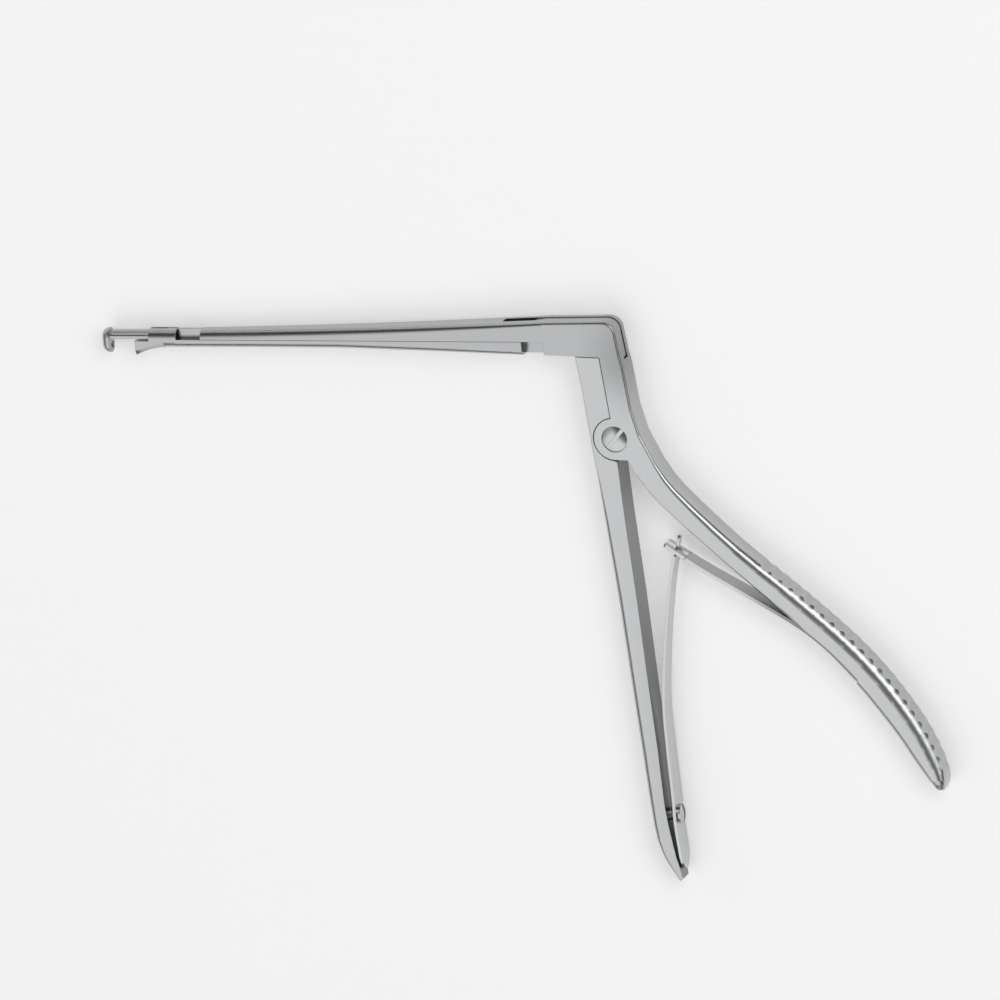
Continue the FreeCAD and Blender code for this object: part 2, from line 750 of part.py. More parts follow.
def make_nose(body):
    """The block wraps the stem, and the nose reaches ahead of it to a bevelled point."""
    front, back = size("block_front"), size("block_back")
    block = new_sketch(body, "BlockSection", "YZ_Plane", z=-front)
    draw_circle(block, seam + 0.05, 0.0, size("block_radius"))
    extrude(body, "Block", block, front - back + 0.5, symmetric=False)
    ledge = seam - size("nose_top_gap")
    sections = []
    for index in range(len(NOSE_STATIONS)):
        behind, width, knee, bottom, strip = [station_size("nose", word, index) for word in NOSE_WORDS]
        place = station(body, "NoseSection%d" % index, size("opening") - size("hook_face") + behind, 0.0)
        sections.append(draw_outline(place, [
            (ledge, -width), (ledge, width), (seam - knee, width), (seam - bottom, strip),
            (seam - bottom, -strip), (seam - knee, -width)]))
    loft(body, "Nose", sections)
    radius = size("stem_radius") + size("slide_clearance")
    crown_half = size("crown_gap") / 2
    crown = seam + 2.18
    bore = new_sketch(body, "BlockBore", "YZ_Plane", z=-front - 0.5)
    draw_outline(bore, [
        (seam - size("seam_gap"), -radius, radius, -1), (seam - size("seam_gap"), radius),
        (crown, crown_half, radius, -1), (seam + 4.0, crown_half), (seam + 4.0, -crown_half), (crown, -crown_half)])
    extrude(body, "BlockCavity", bore, front - back + 2.0, cut=True, symmetric=False, reverse=True)


def make_foot(body):
    """The T-foot runs in the guide of the upper bar."""
    front, back = -size("foot_front"), -size("foot_back")
    neck_top = seam + size("foot_neck_rise")
    for name, low, high, width in (
            ("FootNeck", seam - 0.5, neck_top + 0.1, size("foot_neck_half_width")),
            ("FootHead", neck_top, seam + size("foot_top_rise"), size("foot_half_width"))):
        sketch = new_sketch(body, name + "Outline", "XY_Plane")
        draw_outline(sketch, [(front, low), (back, low), (back, high), (front, high)])
        extrude(body, name, sketch, width * 2)


def make_tail(body):
    """The tail fills the open slot between the cheeks; the lever's finger works in its notch."""
    finger = size("finger_place")
    notch = size("finger_radius") + size("finger_clearance")
    notch_top = seam - size("finger_drop") + size("finger_radius") + 0.35
    sink = size("tail_sink")
    top = seam + size("corner_rise") - sink
    corner = size("corner_round") - sink
    front = -size("slider_back") - 1.0
    slope_foot = size("opening") + size("travel_room") - size("slot_front")
    under = seam - size("tail_drop")
    shelf = under + 0.8
    leg_end = seam - size("slot_end_drop") + 0.35
    corner_x = size("corner_back") - sink
    back_x = head_back()[0][0] - sink
    tail = new_sketch(body, "TailOutline", "XY_Plane")
    draw_outline(tail, [
        (front, under), (-3.6, under), (-3.0, shelf), (finger - notch, shelf), (finger - notch, notch_top),
        (finger + notch, notch_top), (finger + notch, leg_end), (back_x + 0.1, leg_end), (back_x, leg_end + 0.8),
        (corner_x, top - corner), (corner_x - corner + 0.15, top, corner, 1),
        (-size("head_front"), seam + size("bar_head_rise") - sink),
        (-size("tail_front"), seam + size("bar_head_rise") - sink - size("tail_front_step")),
        (slope_foot, seam - size("seam_gap")), (front, seam - size("seam_gap"))])
    extrude(body, "Tail", tail, size("tail_half_width") * 2)


def make_slider():
    """The slider's bar lies under the upper bar and has its taper in width."""
    body = new_body("slider")
    sections = []
    for index in range(len(SLIDER_STATIONS)):
        ahead, depth, radius = [station_size("slider", word, index) for word in SLIDER_WORDS]
        width = bar_half_width(ahead) if index else size("bar_nose_half_width")
        place = station(body, "SliderSection%d" % index, -ahead, 0.0)
        sections.append(rounded_section(place, seam - depth, seam - size("seam_gap"), width, radius, None))
    loft(body, "SliderBar", sections, straight=True)
    make_nose(body)
    make_foot(body)
    make_tail(body)
    return body


def grip_section(body, where):
    count = len(GRIP_STATIONS)
    front_x, front_y, back_x, back_y = [smooth("grip", word, count, where) for word in GRIP_WORDS[:4]]
    radius, half_width = [even("grip", word, count, where) for word in GRIP_WORDS[4:]]
    across = FreeCAD.Vector(back_x.number - front_x.number, back_y.number - front_y.number, 0)
    heading = math.degrees(math.atan2(-across.x, across.y))
    place = station(body, "GripSection%d" % round(where * 12), front_x, front_y, heading)
    return rounded_section(place, as_size(0.0), as_size(across.Length), half_width, radius, None)


def make_shoulder(body):
    """The shoulder fills the corner ahead of the cheeks, with a round seat about the boss."""
    gap = size("joint_gap")
    corner = as_size(8.53)
    shoulder = new_sketch(body, "ShoulderOutline", "XY_Plane")
    draw_outline(shoulder, [
        (-corner, cheek_height(corner) - gap), (-size("cheek_front") - gap, seam - size("cheek_drop") - gap),
        (-0.52 - gap, size("boss_radius")), (-0.75, 0.0), (-0.747, -5.6), (0.25, -5.94),
        (size("grip_back_x_0"), size("grip_back_y_0")), (size("grip_front_x_0"), size("grip_front_y_0")),
        (-6.24, -0.7), (-7.55, 14.1)])
    extrude(body, "Shoulder", shoulder, size("joint_thickness"))
    seat = new_sketch(body, "BossSeat", "XY_Plane")
    draw_circle(seat, 0.0, 0.0, size("boss_radius") + size("heel_gap"))
    extrude(body, "BossSeatCut", seat, size("joint_thickness") + 1.0, cut=True)


def make_web(body):
    """The web turns between the cheeks and rises to the finger that drives the slider."""
    x = size("finger_place")
    y = seam - size("finger_drop")
    wide = size("web_half_width") * 2
    web = new_sketch(body, "WebOutline", "XY_Plane")
    draw_outline(web, [
        (-4.5, y - 3.0), (x - 1.3, y - 3.0), (x - 0.95, y - 1.2), (x + 0.6, y - 1.2), (x + 0.2, y - 3.4),
        (2.3, y - 4.5), (size("web_radius") - 0.03, 0.6), (0.0, 0.0), (0.25, -5.9), (-3.0, -8.0),
        (-5.6, -4.0), (-5.9, 5.0)])
    extrude(body, "Web", web, wide)
    disc = new_sketch(body, "WebDiscOutline", "XY_Plane")
    draw_circle(disc, 0.0, 0.0, size("web_radius"))
    extrude(body, "WebDisc", disc, wide)
    finger = new_sketch(body, "FingerOutline", "XY_Plane")
    draw_circle(finger, x, y, size("finger_radius"))
    extrude(body, "Finger", finger, wide)


def make_lever():
    body = new_body("lever")
    make_shoulder(body)
    make_web(body)

    # The grip runs down to a thin toe, with a boss that carries the front spring.
    loft(body, "Grip", [grip_section(body, where) for where in stops(len(GRIP_STATIONS), 2)], straight=True)
    screw_y = -size("spring_boss_drop")
    inside = 3.0
    post = new_sketch(body, "SpringBossOutline", "YZ_Plane", z=inside)
    draw_circle(post, screw_y, 0.0, size("spring_boss_radius"))
    extrude(body, "SpringBoss", post, front_spring_face() - size("spring_seat_gap") - inside, symmetric=False)
    hole = new_sketch(body, "SpringHole", "YZ_Plane", z=front_spring_face() + 0.5)
    draw_circle(hole, screw_y, 0.0, size("spring_screw_radius"))
    extrude(body, "SpringBore", hole, 4.2, cut=True, symmetric=False)

    bore = new_sketch(body, "PivotHole", "XY_Plane")
    draw_circle(bore, 0.0, 0.0, size("pivot_shank_radius") + size("pivot_clearance"))
    extrude(body, "PivotBore", bore, size("joint_thickness"), cut=True)
    return body


def front_spring_face():
    """How far behind the pivot the front spring's front face lies at its screw."""
    return station_size("front_leaf", "x", 1)


def leaf_section(body, name, x, y, heading, half_width, thickness):
    """A flat section; a thickness below zero lies to the right of the heading."""
    low, high = (thickness, as_size(0.0)) if thickness.number < 0 else (as_size(0.0), thickness)
    return draw_outline(station(body, name, x, y, heading), [
        (low, -half_width), (low, half_width), (high, half_width), (high, -half_width)])


def leaf(body, name, kind, count, thickness, straight=False):
    """A leaf of even thickness through the stations of one kind."""
    sections = []
    for index in range(count):
        x, y, heading, half_width = [station_size(kind, word, index) for word in LEAF_WORDS]
        sections.append(leaf_section(body, "%sSection%d" % (name, index), x, y, heading, half_width, thickness))
    return loft(body, name, sections, straight)


def make_front_spring():
    """The front leaf ends above in a tongue and below in a rounded tip."""
    body = new_body("front_leaf_spring")
    thickness = -size("front_spring_thickness")
    leaf(body, "Leaf", "front_leaf", len(FRONT_SPRING_STATIONS), thickness)
    leaf(body, "LeafEnd", "leaf_end", len(LEAF_END_STATIONS), thickness, straight=True)
    x, y, heading = [station_size("front_leaf", word, len(FRONT_SPRING_STATIONS) - 1) for word in LEAF_WORDS[:3]]
    tongue = size("tongue_half_width")
    root = leaf_section(body, "TongueRoot", x, y, heading, tongue, thickness)
    loft(body, "Tongue", [root, leaf_section(body, "TongueTip", *TONGUE_END, tongue, thickness)])
    hole = new_sketch(body, "ScrewHole", "YZ_Plane", z=12.0)
    draw_circle(hole, -size("spring_boss_drop"), 0.0, size("spring_screw_radius") + size("pivot_clearance"))
    extrude(body, "ScrewBore", hole, 8.0, cut=True, symmetric=False)
    return body


def make_rear_spring():
    """The rear leaf ends above in a fork that takes the front leaf's tongue."""
    body = new_body("rear_leaf_spring")
    thickness = size("rear_spring_thickness")
    leaf(body, "Leaf", "rear_leaf", len(REAR_SPRING_STATIONS), thickness)
    fork = new_sketch(body, "ForkOutline", "XY_Plane")
    draw_outline(fork, [(7.0, -24.0), (14.8, -29.0), (12.9, -33.5), (6.0, -29.5)])
    extrude(body, "Fork", fork, size("fork_width"), cut=True)
    hole = rear_screw_sketch(body, "ScrewHole", 2.0)
    draw_circle(hole, 0.0, 0.0, size("spring_screw_radius") + size("pivot_clearance"))
    extrude(body, "ScrewBore", hole, 6.0, cut=True, symmetric=False)

    # The screw's head is let into the leaf.
    sunk = size("rear_screw_height") - size("rear_screw_dome")
    seat = rear_screw_sketch(body, "HeadSeat", (sunk - thickness).number)
    draw_circle(seat, 0.0, 0.0, size("rear_screw_head") + size("seat_clearance"))
    extrude(body, "HeadBore", seat, 3.0, cut=True, symmetric=False)
    return body


def make_pivot_screw():
    body = new_body("pivot_screw")
    under = half - size("pivot_head_recess")
    top = under + size("pivot_head_height")
    shank, head, rise = size("pivot_shank_radius"), size("pivot_head_radius"), size("pivot_head_dome")
    profile = new_sketch(body, "Profile", "YZ_Plane")
    turned(body, "Turned", profile, "V_Axis", [
        (0.0, 0.1 - half), (shank, 0.1 - half), (shank, under), (head, under), (head, top - rise),
        (0.0, top, dome_radius(head, rise), 1)])
    slot = new_sketch(body, "SlotOutline", "XY_Plane", z=top)
    width = rows["driver_slot_width"] / 2
    turn = math.radians(47.0)
    along = FreeCAD.Vector(math.cos(turn), math.sin(turn), 0) * 5.0
    across = FreeCAD.Vector(-math.sin(turn), math.cos(turn), 0) * width
    points = [along + across, across - along, -along - across, along - across]
    draw_outline(slot, [(point.x, point.y) for point in points])
    extrude(body, "DriverSlot", slot, size("driver_slot_depth"), cut=True, symmetric=False)
    return body


def make_spring_screw(label, x, y, heading, shank_length):
    """A domed screw whose head sits on a leaf spring; heading points out of its head."""
    body = new_body(label)
    kind = label.split("_")[0]
    radius = size("spring_screw_radius")
    head, height, rise = [size("%s_screw_%s" % (kind, word)) for word in ("head", "height", "dome")]
    profile = new_sketch(body, "Profile", "XY_Plane", x=x, y=y)
    profile.AttachmentOffset = FreeCAD.Placement(
        FreeCAD.Vector(x, y, 0), FreeCAD.Rotation(FreeCAD.Vector(0, 0, 1), heading))
    turned(body, "Turned", profile, "H_Axis", [
        (-shank_length, 0.0), (-shank_length, radius), (0.0, radius), (0.0, head), (height - rise, head),
        (height, 0.0, dome_radius(head, rise), -1)])
    angle = math.radians(heading)
    slot = station(body, "SlotOutline", x + height.number * math.cos(angle), y + height.number * math.sin(angle),
                   heading)
    width = size("driver_slot_width") * 0.8 / 2
    draw_outline(slot, [(-4.0, -width), (4.0, -width), (4.0, width), (-4.0, width)])
    extrude(body, "DriverSlot", slot, height * 0.5, cut=True, symmetric=False)
    return body


def make_spring_screws():
    gap = rows["spring_seat_gap"]
    front_x = front_spring_face().number + rows["front_spring_thickness"] + gap
    front = make_spring_screw("front_spring_screw", front_x, -rows["spring_boss_drop"], 0.0, 4.2)
    place, normal = rear_screw_place()
    sunk = rows["rear_screw_height"] - rows["rear_screw_dome"]
    seat = place - normal * (rows["rear_spring_thickness"] - sunk + gap)
    out = math.degrees(math.atan2(-normal.y, -normal.x))
    rear = make_spring_screw("rear_spring_screw", seat.x, seat.y, out, 3.6)
    return [front, rear]


bodies = [make_frame(), make_slider(), make_lever(), make_front_spring(), make_rear_spring(),
          make_pivot_screw()] + make_spring_screws()
doc.recompute()
for item in doc.Objects:
    if "Invalid" in item.State or "Error" in item.State:
        raise RuntimeError("%s %s failed" % (item.Name, item.State))
for body in bodies:
    shape = body.Shape
    if shape.isNull() or not shape.isValid():
        raise RuntimeError("%s has no valid shape" % body.Label)
    if len(shape.Solids) != 1:
        raise RuntimeError("%s has %d solids" % (body.Label, len(shape.Solids)))

os.makedirs("parts", exist_ok=True)
for body in bodies:
    body.Shape.exportStep("parts/%s.step" % body.Label)
    box = body.Shape.BoundBox
    print("%s solids %d volume %.1f x %.2f..%.2f y %.2f..%.2f z %.2f..%.2f" % (
        body.Label, len(body.Shape.Solids), body.Shape.Volume,
        box.XMin, box.XMax, box.YMin, box.YMax, box.ZMin, box.ZMax))
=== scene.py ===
# %% [markdown]
# # A bone rongeur in satin steel
# A bone rongeur is a biting forceps. A hook stands at the end of a long thin bar, and a
# slider under the bar closes its nose on the hook when the two handles are squeezed.
# Two leaf springs between the handles push them apart again. The imported model holds every
# piece at its real size. This lesson gives the pieces their ground, brushed and turned
# finishes, builds the springs anew as curved leaves, and lights the tool as it lies on a pale table.

# %% The frame
import json
import math
import bmesh
import bpy
from mathutils import Matrix, Vector


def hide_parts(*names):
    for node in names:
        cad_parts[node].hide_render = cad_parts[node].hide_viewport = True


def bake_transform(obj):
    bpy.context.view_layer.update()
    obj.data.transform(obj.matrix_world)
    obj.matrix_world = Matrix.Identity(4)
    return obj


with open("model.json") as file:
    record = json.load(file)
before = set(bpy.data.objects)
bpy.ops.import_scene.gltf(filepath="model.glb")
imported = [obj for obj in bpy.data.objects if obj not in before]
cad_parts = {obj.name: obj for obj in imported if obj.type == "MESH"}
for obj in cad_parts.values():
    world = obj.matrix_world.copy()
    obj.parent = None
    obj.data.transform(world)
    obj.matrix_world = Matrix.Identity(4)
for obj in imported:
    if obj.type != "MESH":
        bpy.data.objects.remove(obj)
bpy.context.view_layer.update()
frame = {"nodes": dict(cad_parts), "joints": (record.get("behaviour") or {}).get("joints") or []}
nodes = frame["nodes"]
print("nodes:", sorted(nodes))

# %% [markdown]
# ## Where things are
# The lever turns on the pivot screw, so the pivot's axis is the natural origin for every
# other place. The record gives it as the hinge's position. A small helper then turns a
# place that is measured in millimetres from the pivot into metres in the frame.

# %% Places measured from the pivot
hinge = [joint for joint in frame["joints"] if joint["type"] == "hinge"][0]
PIVOT = Vector(hinge["pos_m"])
MM = 0.001


def place(x, y, z=0.0):
    """A point in the frame from millimetres along the bar, up to it and across the tool."""
    return PIVOT + Vector((x, y, z)) * MM


print("pivot at", tuple(round(c, 5) for c in PIVOT))

# %% [markdown]
# ## The camera
# The picture is taken with a long lens from above and from the tool's upper right: the
# view leans 25 degrees away from straight down, and the bar is turned by 2.5 degrees in
# the picture. A very long lens keeps parallel edges parallel. The picture is as wide as
# the table strip that it shows, so the lens follows from that width and the distance.

# %% The camera
LEAN = math.radians(25.0)
ROLL = math.radians(2.5)
LEAN_TOWARDS = Vector((0.75, 0.66)).normalized()
PICTURE_WIDTH = 0.25345
DISTANCE = 6.0
SENSOR_MM = 36.0
NEAREST_SEEN = 0.1
FARTHEST_SEEN = 60.0
PICTURE_MIDDLE = place(-32.1, -16.1, 3.9)


def camera_axes():
    """The picture's right, its up and the direction to the camera, in the frame."""
    right_flat = Vector((math.cos(ROLL), -math.sin(ROLL), 0.0))
    up_flat = Vector((math.sin(ROLL), math.cos(ROLL), 0.0))
    along = right_flat * LEAN_TOWARDS.x + up_flat * LEAN_TOWARDS.y
    across = up_flat * LEAN_TOWARDS.x - right_flat * LEAN_TOWARDS.y
    leaned = along * math.cos(LEAN) - Vector((0, 0, 1)) * math.sin(LEAN)
    right = leaned * LEAN_TOWARDS.x - across * LEAN_TOWARDS.y
    up = leaned * LEAN_TOWARDS.y + across * LEAN_TOWARDS.x
    return right, up, right.cross(up)


def make_camera():
    """A long lens that looks straight at the middle of the picture."""
    right, up, back = camera_axes()
    data = bpy.data.cameras.new("camera")
    data.sensor_width = SENSOR_MM
    data.lens = SENSOR_MM * DISTANCE / PICTURE_WIDTH
    data.clip_start = NEAREST_SEEN
    data.clip_end = FARTHEST_SEEN
    camera = bpy.data.objects.new("camera", data)
    bpy.context.scene.collection.objects.link(camera)
    turn = Matrix((right, up, back)).transposed().to_4x4()
    camera.matrix_world = Matrix.Translation(PICTURE_MIDDLE + back * DISTANCE) @ turn
    bpy.context.scene.camera = camera
    return camera


camera = make_camera()
print("lens %.0f mm" % camera.data.lens)

# %% [markdown]
# ## Colours and nodes
# A hex colour is written for the screen, and the shader wants linear light, so one
# function turns one into the other. The next adds a node, sets its values and links it,
# and the last turns a list of stops into a ramp from dark to bright.

# %% Helpers for materials


def linear(hex_colour):
    """A screen colour such as d0d2d4 as linear red, green, blue and alpha."""
    parts = [int(hex_colour[i:i + 2], 16) / 255.0 for i in (0, 2, 4)]
    return [c / 12.92 if c <= 0.04045 else ((c + 0.055) / 1.055) ** 2.4 for c in parts] + [1.0]


def add_node(tree, kind, settings=None, inputs=None):
    """One node. inputs maps a socket's name or number to a value or to another node's output."""
    node = tree.nodes.new(kind)
    for name, value in (settings or {}).items():
        setattr(node, name, value)
    for socket, value in (inputs or {}).items():
        if isinstance(value, bpy.types.NodeSocket):
            tree.links.new(value, node.inputs[socket])
        else:
            node.inputs[socket].default_value = value
    return node


def ramp(tree, source, stops):
    """A colour ramp from (position, grey) stops."""
    node = add_node(tree, "ShaderNodeValToRGB", None, {0: source})
    elements = node.color_ramp.elements
    while len(elements) < len(stops):
        elements.new(0.5)
    for element, (position, grey) in zip(elements, stops):
        element.position = position
        element.color = (grey, grey, grey, 1.0)
    return node.outputs["Color"]


# %% [markdown]
# ## Satin ground stainless steel
# The bars and handles are ground and then brushed, which leaves a very fine grain along
# each piece: streaks less than 0.1 mm apart and many times as long, which vary the
# roughness and lift the surface a little. Faint clouds of 8 mm stand for uneven polishing.
# Faces that stand across the tool get painted shade, which makes them darker than the ones
# in its plane, and a tone that changes slowly from one place to another is painted shade
# that stands for the darker parts of the room that a broad flat face mirrors.

# %% The steels
GRAIN_STRETCH = 0.03
GRAIN_STRENGTH = 0.12
GRAIN_HEIGHT = 0.002 * MM
GRAIN_ROUGHNESS = 0.08
GRAIN_TINT = 0.97
CLOUD_SIZE = 8.0 * MM
CLOUD_ROUGHNESS = 0.01


def painted_shade_between(tree, position, near, far, tones):
    """Painted shade: a tone that changes from the first to the second along the way from near to far."""
    way = far - near
    from_near = add_node(tree, "ShaderNodeVectorMath", {"operation": "SUBTRACT"}, {0: position, 1: near})
    along = add_node(tree, "ShaderNodeVectorMath", {"operation": "DOT_PRODUCT"}, {
        0: from_near.outputs["Vector"], 1: way / way.length_squared})
    return add_node(tree, "ShaderNodeMapRange", {"interpolation_type": "SMOOTHSTEP"}, {
        "Value": along.outputs["Value"], "To Min": tones[0], "To Max": tones[1]}).outputs["Result"]


def painted_shade_around(tree, position, middle, radius, tone):
    """Painted shade: a tone at a middle that fades out to 1 at a radius."""
    away = add_node(tree, "ShaderNodeVectorMath", {"operation": "DISTANCE"}, {0: position, 1: middle})
    return add_node(tree, "ShaderNodeMapRange", {"interpolation_type": "SMOOTHSTEP"}, {
        "Value": away.outputs["Value"], "From Max": radius, "To Min": tone, "To Max": 1.0}).outputs["Result"]


def multiplied(tree, values):
    """The product of several sockets or numbers, of which the first is a socket."""
    product = values[0]
    for value in values[1:]:
        node = add_node(tree, "ShaderNodeMath", {"operation": "MULTIPLY"}, {0: product, 1: value})
        product = node.outputs["Value"]
    return product


def make_steel(name, colour, roughness, grain_mm, grain_turn=0.0, edge_mm=0.12, painted_wall_shade=1.0, between=(),
               around=()):
    """Brushed steel. grain_turn is the grain's direction in the tool's plane, in degrees, and
    painted_wall_shade the share of the colour that painted shade leaves on the walls that
    stand across that plane. between and around list the painted shade that
    painted_shade_between and painted_shade_around take."""
    material = bpy.data.materials.new(name)
    material.use_nodes = True
    tree = material.node_tree
    tree.nodes.clear()
    output = add_node(tree, "ShaderNodeOutputMaterial")
    place_node = add_node(tree, "ShaderNodeTexCoord")
    turned = add_node(tree, "ShaderNodeMapping", None, {
        "Vector": place_node.outputs["Object"], "Rotation": (0.0, 0.0, -math.radians(grain_turn))})
    per_metre = 1.0 / (grain_mm * MM)
    stretched = add_node(tree, "ShaderNodeMapping", None, {
        "Vector": turned.outputs["Vector"],
        "Scale": (per_metre * GRAIN_STRETCH, per_metre, per_metre)})
    grain = add_node(tree, "ShaderNodeTexNoise", None, {
        "Vector": stretched.outputs["Vector"], "Scale": 1.0, "Detail": 3.0, "Roughness": 0.6})
    clouds = add_node(tree, "ShaderNodeTexNoise", None, {
        "Vector": place_node.outputs["Object"], "Scale": 1.0 / CLOUD_SIZE, "Detail": 2.0})
    grain_rough = add_node(tree, "ShaderNodeMapRange", None, {
        "Value": grain.outputs["Fac"], "From Min": 0.3, "From Max": 0.7,
        "To Min": roughness * (1.0 - GRAIN_ROUGHNESS), "To Max": roughness * (1.0 + GRAIN_ROUGHNESS)})
    cloud_rough = add_node(tree, "ShaderNodeMapRange", None, {
        "Value": clouds.outputs["Fac"], "From Min": 0.3, "From Max": 0.7, "To Min": -CLOUD_ROUGHNESS,
        "To Max": CLOUD_ROUGHNESS})
    total = add_node(tree, "ShaderNodeMath", {"operation": "ADD"}, {
        0: grain_rough.outputs["Result"], 1: cloud_rough.outputs["Result"]})
    tint = add_node(tree, "ShaderNodeMapRange", None, {
        "Value": grain.outputs["Fac"], "From Min": 0.3, "From Max": 0.7, "To Min": GRAIN_TINT,
        "To Max": 1.0})
    # Painted shade: the faces that stand across the tool's plane are darker than those that lie in it.
    facing = add_node(tree, "ShaderNodeSeparateXYZ", None, {"Vector": place_node.outputs["Normal"]})
    flatness = add_node(tree, "ShaderNodeMath", {"operation": "ABSOLUTE"}, {0: facing.outputs["Z"]})
    wall = add_node(tree, "ShaderNodeMapRange", None, {
        "Value": flatness.outputs["Value"], "From Min": 0.1, "From Max": 0.5, "To Min": painted_wall_shade,
        "To Max": 1.0})
    tones = [tint.outputs["Result"], wall.outputs["Result"]]
    # Painted shade along a way and around middles, for darker parts of the room that broad faces mirror.
    for near, far, both_tones in between:
        tones.append(painted_shade_between(tree, place_node.outputs["Object"], near, far, both_tones))
    for middle, radius_mm, tone in around:
        tones.append(painted_shade_around(tree, place_node.outputs["Object"], middle, radius_mm * MM, tone))
    shade = add_node(tree, "ShaderNodeVectorMath", {"operation": "SCALE"}, {
        0: linear(colour)[:3], "Scale": multiplied(tree, tones)})
    rounded = add_node(tree, "ShaderNodeBevel", {"samples": 6}, {"Radius": edge_mm * MM})
    bump = add_node(tree, "ShaderNodeBump", None, {
        "Height": grain.outputs["Fac"], "Strength": GRAIN_STRENGTH, "Distance": GRAIN_HEIGHT,
        "Normal": rounded.outputs["Normal"]})
    shader = add_node(tree, "ShaderNodeBsdfPrincipled", None, {
        "Base Color": shade.outputs["Vector"], "Metallic": 1.0, "Roughness": total.outputs["Value"],
        "Normal": bump.outputs["Normal"]})
    tree.links.new(shader.outputs["BSDF"], output.inputs["Surface"])
    return material


# Painted shade on the frame and slider: darker from 9 to 21 mm above the pivot, and darker around a spot on
# the near face 9 mm along and 21 mm above the pivot.
bar_steel = make_steel(
    "satin_ground_stainless_steel", "c0c1c2", 0.25, 0.08,
    between=[(place(0, 9), place(0, 21), (1.0, 0.86))], around=[(place(9, 21, 3.9), 20.0, 0.66)])
# Painted shade on the lever: its walls across the tool's plane at half brightness, and the whole lever a
# little darker from 3 mm left to 7 mm right of the pivot.
lever_steel = make_steel(
    "satin_ground_steel_lever", "c0c1c2", 0.25, 0.08, grain_turn=-88.0, edge_mm=0.28,
    painted_wall_shade=0.5, between=[(place(-3, 0), place(7, 0), (1.0, 0.92))])
front_leaf_steel = make_steel(
    "rolled_steel_front_leaf", "c8c9ca", 0.24, 0.08, grain_turn=-80.0, edge_mm=0.1)
# Painted shade on the rear leaf: it darkens to less than half its brightness towards its foot on the rear
# handle.
rear_leaf_steel = make_steel(
    "rolled_steel_rear_leaf", "c8c9ca", 0.24, 0.08, grain_turn=-33.0, edge_mm=0.1,
    between=[(place(26, -38), place(44, -49), (1.0, 0.42))])
screw_steel = make_steel("turned_steel", "c2c3c4", 0.2, 0.06, edge_mm=0.08)
print("steels:", bar_steel.name, lever_steel.name, screw_steel.name)
print("leaves:", front_leaf_steel.name, rear_leaf_steel.name)

# %% [markdown]
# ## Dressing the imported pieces
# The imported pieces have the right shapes, so each only gets its own steel.

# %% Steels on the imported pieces


def dress(node_name, material):
    """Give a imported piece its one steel."""
    piece = nodes[node_name]
    piece.data.materials.clear()
    piece.data.materials.append(material)
    return piece


for node_name, material in (
        ("frame", bar_steel), ("slider", bar_steel), ("lever", lever_steel),
        ("pivot_screw", screw_steel), ("front_spring_screw", screw_steel),
        ("rear_spring_screw", screw_steel)):
    dress(node_name, material)
print("dressed")

# %% [markdown]
# ## Leaf springs made anew
# Each spring is screwed to one handle at its foot, and the two tips are hooked together:
# the front spring's tongue stands in the rear spring's fork. When the handles close, both
# springs bend and the hooked tips move half as far as the lever. A imported solid is rigid
# and has no points between its ends, so each leaf is made anew: a thin bar of four corners
# is laid through stations along the leaf, close together so that it bends smoothly.

# %% The springs
# Sizes in millimetres. The tongue and the prongs start a little inside their leaf.
STEP = 0.25
FRONT_THICKNESS = 0.8
REAR_THICKNESS = 0.85
TONGUE_ROOT = 0.4
TONGUE_HALF = 0.7
TONGUE_STRAIGHT = 4.4
TONGUE_TIP = [(4.8, 0.62), (5.05, 0.45), (5.2, 0.2)]
FORK_LENGTH = 6.4
FORK_HALF = 1.0
PRONG_OVERLAP = 0.4
PRONG_MIDDLE = 1.7
PRONG_ROUND = 0.7
PRONG_BLUNT = 0.15
SHARP_ANGLE = math.radians(40.0)

# Each station is x and y from the pivot, the leaf's heading in degrees and half its width.
FRONT_LEAF = [
    (7.17, -114.3, 92.0, 0.7), (7.15, -113.7, 92.0, 1.6), (7.12, -112.6, 92.0, 2.35),
    (7.06, -111.0, 92.5, 2.9), (6.96, -109.0, 93.0, 3.15), (6.44, -101.5, 90.0, 3.3),
    (6.44, -95.2, 90.0, 3.2), (6.05, -81.5, 90.5, 2.95), (6.10, -69.0, 87.5, 2.7),
    (7.97, -52.8, 81.5, 2.45), (10.56, -38.0, 78.0, 2.2), (12.20, -31.2, 76.0, 2.1),
]
REAR_LEAF = [
    (58.68, -63.8, 133.5, 3.0), (51.0, -55.4, 136.0, 3.0), (43.5, -49.3, 144.0, 3.0),
    (31.5, -41.95, 149.0, 2.9), (19.54, -34.88, 148.0, 2.7), (9.83, -28.5, 147.0, 2.45),
]


def between_stations(stations, index, share):
    """A place between two stations, on a smooth curve through all of them."""
    def entry(number, column):
        if number < 0:
            return 2 * stations[0][column] - stations[1][column]
        if number >= len(stations):
            return 2 * stations[-1][column] - stations[-2][column]
        return stations[number][column]

    result = []
    for column in range(3):
        a, b, c, d = [entry(index + offset, column) for offset in (-1, 0, 1, 2)]
        bend = 2 * a - 5 * b + 4 * c - d + share * (3 * (b - c) + d - a)
        result.append(b + 0.5 * share * (c - a + share * bend))
    result.append(stations[index][3] * (1 - share) + stations[index + 1][3] * share)
    return result


def centre_line(stations):
    """Close stations along a leaf."""
    line = []
    for index in range(len(stations) - 1):
        near, far = stations[index], stations[index + 1]
        steps = max(2, int(math.hypot(far[0] - near[0], far[1] - near[1]) / STEP))
        line += [between_stations(stations, index, number / steps) for number in range(steps)]
    return line + [list(stations[-1])]


